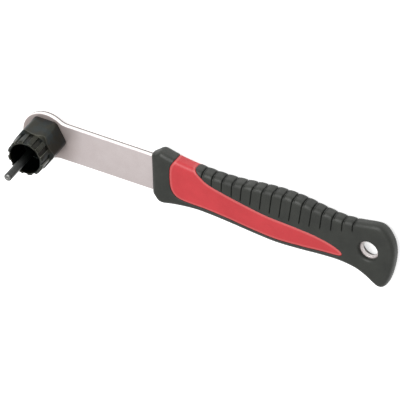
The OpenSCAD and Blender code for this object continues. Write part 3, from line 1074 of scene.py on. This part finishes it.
@dataclass
class Graph:
    """A material's nodes around one Principled shader."""

    material: bpy.types.Material
    shader: bpy.types.Node = field(init=False)

    def __post_init__(self) -> None:
        """Find the shader in the fresh node tree."""
        self.material.use_nodes = True
        self.shader = next(n for n in self.tree.nodes if n.type == "BSDF_PRINCIPLED")

    @property
    def tree(self) -> bpy.types.NodeTree:
        """The material's node tree."""
        return self.material.node_tree

    def node(self, kind: str, links: Optional[dict] = None, **settings: object) -> bpy.types.Node:
        """Add a node.

        Args:
            kind: Blender's name for the node's type.
            links: Input names or numbers with the socket or value that each takes.
            **settings: Properties of the node.

        Returns:
            The node.
        """
        made = self.tree.nodes.new(kind)
        for key, value in settings.items():
            setattr(made, key, value)
        for key, value in (links or {}).items():
            if isinstance(value, bpy.types.NodeSocket):
                self.tree.links.new(value, made.inputs[key])
            else:
                made.inputs[key].default_value = value
        return made

    def place(self, stretch: tuple[float, float, float] = (1, 1, 1)) -> bpy.types.NodeSocket:
        """Object coordinates, stretched along the axes."""
        source = self.node("ShaderNodeTexCoord").outputs["Object"]
        return self.node("ShaderNodeMapping", {"Vector": source, "Scale": stretch}).outputs[0]

    def noise(
        self, size_mm: float, detail: float = 3.0,
        stretch: tuple[float, float, float] = (1, 1, 1),
    ) -> bpy.types.NodeSocket:
        """Noise whose features are about size_mm across."""
        links = {
            "Vector": self.place(stretch), "Scale": 1.0 / (size_mm * MM),
            "Detail": detail, "Roughness": 0.55,
        }
        return self.node("ShaderNodeTexNoise", links).outputs[0]

    def ramp(
        self, value: bpy.types.NodeSocket, low: float, high: float,
        start: float = 0.0, end: float = 1.0,
    ) -> bpy.types.NodeSocket:
        """Map a value from low..high to start..end, held at the ends."""
        links = {0: value, 1: low, 2: high, 3: start, 4: end}
        return self.node("ShaderNodeMapRange", links).outputs[0]

    def mix(
        self, share: bpy.types.NodeSocket, first: object, second: object
    ) -> bpy.types.NodeSocket:
        """Mix two colours by a share."""
        made = self.node("ShaderNodeMix", data_type="RGBA")
        for socket, value in zip((made.inputs[0], made.inputs[6], made.inputs[7]),
                                 (share, first, second)):
            if isinstance(value, bpy.types.NodeSocket):
                self.tree.links.new(value, socket)
            else:
                socket.default_value = value
        return made.outputs[2]

    def math(self, kind: str, first: object, second: object = 0.0) -> bpy.types.NodeSocket:
        """Apply a Math node to two values."""
        return self.node("ShaderNodeMath", {0: first, 1: second}, operation=kind).outputs[0]

    def value(self, name: str) -> bpy.types.NodeSocket:
        """Read one of the piece's own point values."""
        return self.node("ShaderNodeAttribute", attribute_name=name).outputs["Fac"]

    def bump(self, height: bpy.types.NodeSocket, depth_mm: float) -> None:
        """Bump the shader by a height of 0 to 1 that is depth_mm deep."""
        links = {"Height": height, "Distance": depth_mm * MM, "Strength": 1.0}
        if self.shader.inputs["Normal"].is_linked:
            links["Normal"] = self.shader.inputs["Normal"].links[0].from_socket
        made = self.node("ShaderNodeBump", links)
        self.tree.links.new(made.outputs[0], self.shader.inputs["Normal"])

    def colour(self, socket: bpy.types.NodeSocket) -> None:
        """Give the shader its colour."""
        self.tree.links.new(socket, self.shader.inputs["Base Color"])

    def rough(self, socket: bpy.types.NodeSocket) -> None:
        """Give the shader its roughness."""
        self.tree.links.new(socket, self.shader.inputs["Roughness"])


@dataclass(frozen=True)
class Finish:
    """What every finish has: a name, its colours and its gloss."""

    name: str
    main: tuple[float, float, float]
    second: tuple[float, float, float]
    rough_low: float
    rough_high: float
    metallic: float = 0.0

    def graph(self) -> Graph:
        """A fresh material with the whole-surface values set on its shader."""
        graph = Graph(bpy.data.materials.new(self.name))
        graph.shader.inputs["Metallic"].default_value = self.metallic
        return graph

    def build(self) -> bpy.types.Material:
        """Make the material."""
        raise NotImplementedError


@dataclass(frozen=True)
class PlatedSteel(Finish):
    """Satin plating: cloudy patches, fine grain and lengthwise rolling marks, with painted shade
    round the socket, a painted reflection on the sides and a painted shade line on the back edge.
    """

    name: str = "plated_steel_satin"
    main: tuple[float, float, float] = (216, 206, 205)
    second: tuple[float, float, float] = (206, 195, 194)
    # painted reflection: the pale colour of the arm's side walls and rounded edges
    side: tuple[float, float, float] = (240, 234, 232)
    # painted shade: the dark line along the back edge's rounding
    line: tuple[float, float, float] = (86, 80, 78)
    # painted shade: the darker colour the arm takes from 13 to 25 mm off the socket's axis,
    # standing in for the socket's shadow on it
    painted_contact_shade: tuple[float, float, float] = (158, 143, 137)
    painted_contact_shade_r: tuple[float, float] = (13.0, 25.0)
    rough_low: float = 0.38
    rough_high: float = 0.5
    metallic: float = 0.6

    def build(self) -> bpy.types.Material:
        """Make the material."""
        graph = self.graph()
        cloud = graph.noise(9.0, 4.0)
        grain = graph.noise(0.55, 3.0)
        rolling = graph.noise(0.5, 2.0, (0.05, 1, 1))
        share = graph.ramp(graph.math("ADD", cloud, grain), 0.7, 1.3)
        base = graph.mix(share, linear(*self.main), linear(*self.second))
        # painted shade: darken the arm near the socket's axis, as the socket's shadow on it
        around = graph.node("ShaderNodeVectorMath", {0: graph.place((1, 1, 0))},
                            operation="LENGTH").outputs["Value"]
        painted_contact_shade = graph.ramp(around, self.painted_contact_shade_r[0] * MM, self.painted_contact_shade_r[1] * MM, 0.55, 0.0)
        base = graph.mix(painted_contact_shade, base, linear(*self.painted_contact_shade))
        # painted reflection: the 'side' value lightens the side walls and rounded edges
        base = graph.mix(graph.ramp(graph.value("side"), 0.2, 0.9), base, linear(*self.side))
        # painted shade: the 'edge' value darkens the back edge's rounding into a thin line
        line = graph.ramp(graph.value("edge"), 0.55, 0.85)
        graph.colour(graph.mix(line, base, linear(*self.line)))
        graph.rough(graph.ramp(cloud, 0.3, 0.7, self.rough_low, self.rough_high))
        graph.bump(graph.math("ADD", grain, rolling), 0.012)
        return graph.material


@dataclass(frozen=True)
class BlackOxide(Finish):
    """Oxide over milled steel: grey-green with bluish patches, with painted shade in the spline
    roots, at the foot and down the bore.
    """

    name: str = "black_oxide_satin"
    main: tuple[float, float, float] = (42, 42, 35)
    second: tuple[float, float, float] = (42, 49, 50)
    rough_low: float = 0.3
    rough_high: float = 0.46
    metallic: float = 0.8

    def build(self) -> bpy.types.Material:
        """Make the material."""
        graph = self.graph()
        patch = graph.noise(6.5, 3.0)
        grain = graph.noise(0.35, 3.0)
        milled = graph.noise(0.3, 2.0, (1, 1, 0.08))
        share = graph.ramp(patch, 0.42, 0.62)
        base = graph.mix(share, linear(*self.main), linear(*self.second))
        speck = graph.mix(graph.ramp(grain, 0.35, 0.75, 0.0, 0.4), base, linear(26, 26, 22))
        worn = graph.math("MULTIPLY", graph.value("wear"), graph.ramp(grain, 0.3, 0.6, 0.3, 1))
        bare = graph.mix(worn, speck, linear(112, 112, 103))
        # painted shade in the spline roots and at the foot, from the 'shade' value
        shaded_oxide = graph.mix(graph.value("shade"), bare, linear(16, 15, 12))
        # painted shade down the bore, from the 'inner' value
        graph.colour(graph.mix(graph.value("inner"), shaded_oxide, linear(7, 14, 12)))
        graph.rough(graph.ramp(patch, 0.3, 0.7, self.rough_low, self.rough_high))
        graph.bump(graph.math("ADD", grain, milled), 0.01)
        return graph.material


@dataclass(frozen=True)
class PinSteel(Finish):
    """Ground steel with fine marks round the pin, with painted shade darkening it towards the
    bore and a painted highlight on its tip.
    """

    name: str = "ground_pin_steel"
    main: tuple[float, float, float] = (58, 59, 58)
    second: tuple[float, float, float] = (42, 44, 43)
    rough_low: float = 0.28
    rough_high: float = 0.42
    metallic: float = 0.7

    def build(self) -> bpy.types.Material:
        """Make the material."""
        graph = self.graph()
        rings = graph.noise(0.16, 2.0, (0.06, 0.06, 1))
        cloud = graph.noise(3.0, 3.0)
        share = graph.ramp(graph.math("ADD", rings, cloud), 0.75, 1.25)
        base = graph.mix(share, linear(*self.main), linear(*self.second))
        # painted shade towards the bore
        dark = graph.mix(graph.value("painted_shade_fade"), linear(14, 20, 18), base)
        # painted highlight on the tip, from the 'tip' value
        graph.colour(graph.mix(graph.value("tip"), dark, linear(132, 132, 130)))
        graph.rough(graph.ramp(cloud, 0.3, 0.7, self.rough_low, self.rough_high))
        graph.bump(rings, 0.008)
        return graph.material


@dataclass(frozen=True)
class RedPlastic(Finish):
    """Moulded red plastic with a fine etched grain and a painted highlight along the window's
    edge.
    """

    name: str = "moulded_red_plastic"
    main: tuple[float, float, float] = (194, 50, 57)
    second: tuple[float, float, float] = (184, 44, 51)
    rough_low: float = 0.36
    rough_high: float = 0.5

    def build(self) -> bpy.types.Material:
        """Make the material."""
        graph = self.graph()
        cloud = graph.noise(14.0, 3.0)
        grain = graph.noise(0.32, 2.0)
        share = graph.ramp(cloud, 0.35, 0.65)
        base = graph.mix(share, linear(*self.main), linear(*self.second))
        speck = graph.mix(graph.ramp(grain, 0.5, 0.8, 0, 0.25), base, linear(222, 96, 94))
        # painted highlight along the window's edge, from the core's 'edge' value
        painted_rim_highlight = graph.ramp(graph.value("edge"), 0.0, 1.0, 0.0, 0.3)
        graph.colour(graph.mix(painted_rim_highlight, speck, linear(226, 134, 130)))
        graph.rough(graph.ramp(cloud, 0.3, 0.7, self.rough_low, self.rough_high))
        graph.bump(grain, 0.014)
        return graph.material


@dataclass(frozen=True)
class SoftRubber(Finish):
    """Soft black skin: fine leathery grain with paler flecks, and painted shade in the grooves
    and the fine lines beside them.
    """

    name: str = "soft_black_rubber"
    main: tuple[float, float, float] = (42, 44, 39)
    second: tuple[float, float, float] = (34, 36, 32)
    rough_low: float = 0.42
    rough_high: float = 0.56

    def build(self) -> bpy.types.Material:
        """Make the material."""
        graph = self.graph()
        graph.shader.inputs["Specular IOR Level"].default_value = 0.46
        cloud = graph.noise(10.0, 4.0)
        grain = graph.noise(0.4, 3.0)
        share = graph.ramp(cloud, 0.35, 0.65)
        base = graph.mix(share, linear(*self.main), linear(*self.second))
        speck = graph.mix(graph.ramp(grain, 0.5, 0.8, 0, 0.3), base, linear(70, 72, 68))
        # painted shade: darken the grooves and fine lines by the 'groove' value
        graph.colour(graph.mix(graph.value("groove"), speck, linear(22, 23, 22)))
        graph.rough(graph.ramp(cloud, 0.3, 0.7, self.rough_low, self.rough_high))
        graph.bump(grain, 0.03)
        return graph.material


@dataclass(frozen=True)
class StudioFloor(Finish):
    """White paper that keeps a soft shadow and shows as white to the camera."""

    name: str = "studio_white_floor"
    main: tuple[float, float, float] = (232, 232, 232)
    second: tuple[float, float, float] = (228, 228, 228)
    rough_low: float = 0.9
    rough_high: float = 0.95
    glow: float = 0.62

    def build(self) -> bpy.types.Material:
        """Make the material, with a glow that only the camera and reflections see."""
        graph = self.graph()
        cloud = graph.noise(60.0, 2.0)
        graph.colour(graph.mix(cloud, linear(*self.main), linear(*self.second)))
        graph.rough(graph.ramp(cloud, 0.3, 0.7, self.rough_low, self.rough_high))
        path = graph.node("ShaderNodeLightPath")
        seen = graph.math("MAXIMUM", path.outputs["Is Camera Ray"],
                          path.outputs["Is Glossy Ray"])
        seen = graph.math("MAXIMUM", seen, path.outputs["Is Transmission Ray"])
        strength = graph.math("MULTIPLY", seen, self.glow)
        glow = graph.node("ShaderNodeEmission", {"Strength": strength})
        total = graph.node("ShaderNodeAddShader",
                           {0: graph.shader.outputs[0], 1: glow.outputs[0]})
        output = next(n for n in graph.tree.nodes if n.type == "OUTPUT_MATERIAL")
        graph.tree.links.new(total.outputs[0], output.inputs["Surface"])
        return graph.material


# Studio


@dataclass
class Studio:
    """Floor, lamps, world and the camera fitted to the photograph."""

    floor_z: float = -32.8
    floor_size: float = 2400.0
    picture_width: float = 234.7
    toward: tuple[float, float, float] = (0.3701, 0.5987, 0.7104)
    right: tuple[float, float, float] = (0.8803, 0.0185, -0.4741)
    shift_right: float = 90.45
    shift_up: float = -37.73
    aim_z: float = -26.0
    world_strength: float = 0.66

    def build_floor(self) -> None:
        """Lay the floor as a flat sheet of squares under the whole tool."""
        side = np.linspace(-1, 1, 33) * self.floor_size / 2
        x, y = np.meshgrid(side + 90, side)
        rows = np.arange(32)[:, None] * 33 + np.arange(32)[None, :]
        faces = np.stack([rows, rows + 1, rows + 34, rows + 33], axis=-1).reshape(-1, 4)
        z = np.full(x.size, self.floor_z - 0.01)
        floor = Shell(np.column_stack([x.ravel(), y.ravel(), z]), [faces])
        piece = floor.to_object("studio_floor")
        piece.data.materials.append(StudioFloor().build())

    def build_world(self) -> None:
        """Light the scene with a plain world that the camera sees as white."""
        world = bpy.data.worlds.new("studio_world")
        world.use_nodes = True
        nodes, links = world.node_tree.nodes, world.node_tree.links
        background = next(n for n in nodes if n.type == "BACKGROUND")
        background.inputs["Color"].default_value = (1, 1, 1, 1)
        path = nodes.new("ShaderNodeLightPath")
        seen = nodes.new("ShaderNodeMath")
        seen.operation = "MAXIMUM"
        links.new(path.outputs["Is Camera Ray"], seen.inputs[0])
        links.new(path.outputs["Is Transmission Ray"], seen.inputs[1])
        strength = nodes.new("ShaderNodeMapRange")
        strength.inputs[3].default_value = self.world_strength
        strength.inputs[4].default_value = 1.0
        links.new(seen.outputs[0], strength.inputs[0])
        links.new(strength.outputs[0], background.inputs["Strength"])
        bpy.context.scene.world = world

    def add_lamp(
        self, name: str, direction: tuple[float, float, float], distance: float,
        size: float, watts: float,
    ) -> None:
        """Hang a soft square lamp that faces the handle's middle.

        Args:
            name: The lamp's name.
            direction: Where it stands, from the handle's middle.
            distance: How far away it stands.
            size: Its side.
            watts: Its power.
        """
        lamp = bpy.data.lights.new(name, "AREA")
        lamp.shape = "SQUARE"
        lamp.size = size * MM
        lamp.energy = watts
        holder = bpy.data.objects.new(name, lamp)
        bpy.context.scene.collection.objects.link(holder)
        away = Vector(direction).normalized()
        holder.location = (Vector((90, 0, -25)) + away * distance) * MM
        holder.rotation_euler = away.to_track_quat("Z", "Y").to_euler()

    def build_lamps(self) -> None:
        """Hang the key lamp at the picture's top and a fill beside the camera."""
        self.add_lamp("key_lamp", (-0.2, 0.6, 0.8), 900, 600, 5.5)
        self.add_lamp("fill_lamp", (0.3, -0.3, 0.9), 1100, 900, 1.5)

    def build_camera(self) -> None:
        """Set up the camera without perspective, turned as the photograph was."""
        toward = Vector(self.toward).normalized()
        right = Vector(self.right)
        right = (right - toward * right.dot(toward)).normalized()
        up = toward.cross(right)
        data = bpy.data.cameras.new("photo_camera")
        data.type = "ORTHO"
        data.ortho_scale = self.picture_width * MM
        camera = bpy.data.objects.new("photo_camera", data)
        bpy.context.scene.collection.objects.link(camera)
        aim = Vector((0, 0, self.aim_z)) + right * self.shift_right + up * self.shift_up
        camera.matrix_world = Matrix.Translation((aim + toward * 700) * MM) @ Matrix(
            (right, up, toward)
        ).transposed().to_4x4()
        bpy.context.scene.camera = camera

    def build(self) -> None:
        """Set up the whole studio."""
        bpy.context.scene.view_settings.view_transform = "Standard"
        self.build_floor()
        self.build_world()
        self.build_lamps()
        self.build_camera()


# The tool


@dataclass
class LockringTool:
    """The whole tool: builds each piece, dresses it and hands it to the frame."""

    form: HandleForm = field(default_factory=HandleForm)

    def hand_over(self, shell: Shell, name: str, node: str, finish: Finish) -> None:
        """Make a piece, give it its finish, and let it stand for a node of the frame.

        Args:
            shell: The piece's surface.
            name: The piece's name.
            node: The node that it stands for.
            finish: The piece's finish.
        """
        piece = shell.to_object(name)
        piece.data.materials.append(finish.build())
        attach(piece, BODY)
        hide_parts(node)
        LOG.info("%s: %d points, %d faces", name, len(piece.data.vertices),
                 len(piece.data.polygons))

    def build(self) -> None:
        """Build the five pieces in order."""
        handle = Handle(self.form)
        self.hand_over(Arm(self.form).build(), "flat_arm", "arm", PlatedSteel())
        self.hand_over(Socket().build(), "toothed_socket", "splined_socket",
                       BlackOxide())
        self.hand_over(GuidePin().build(), "plain_guide_pin", "guide_pin",
                       PinSteel())
        self.hand_over(handle.build_core(), "handle_core", "grip_core",
                       RedPlastic())
        self.hand_over(handle.build_skin(), "handle_skin", "grip_overmould",
                       SoftRubber())


def main() -> None:
    """Build the tool and the studio, and log how many nodes the frame has."""
    logging.basicConfig(level=logging.INFO, format="%(name)s: %(message)s")
    LOG.info("frame has %d nodes", len(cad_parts))
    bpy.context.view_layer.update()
    LockringTool().build()
    Studio().build()
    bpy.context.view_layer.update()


if __name__ == "__main__":
    main()
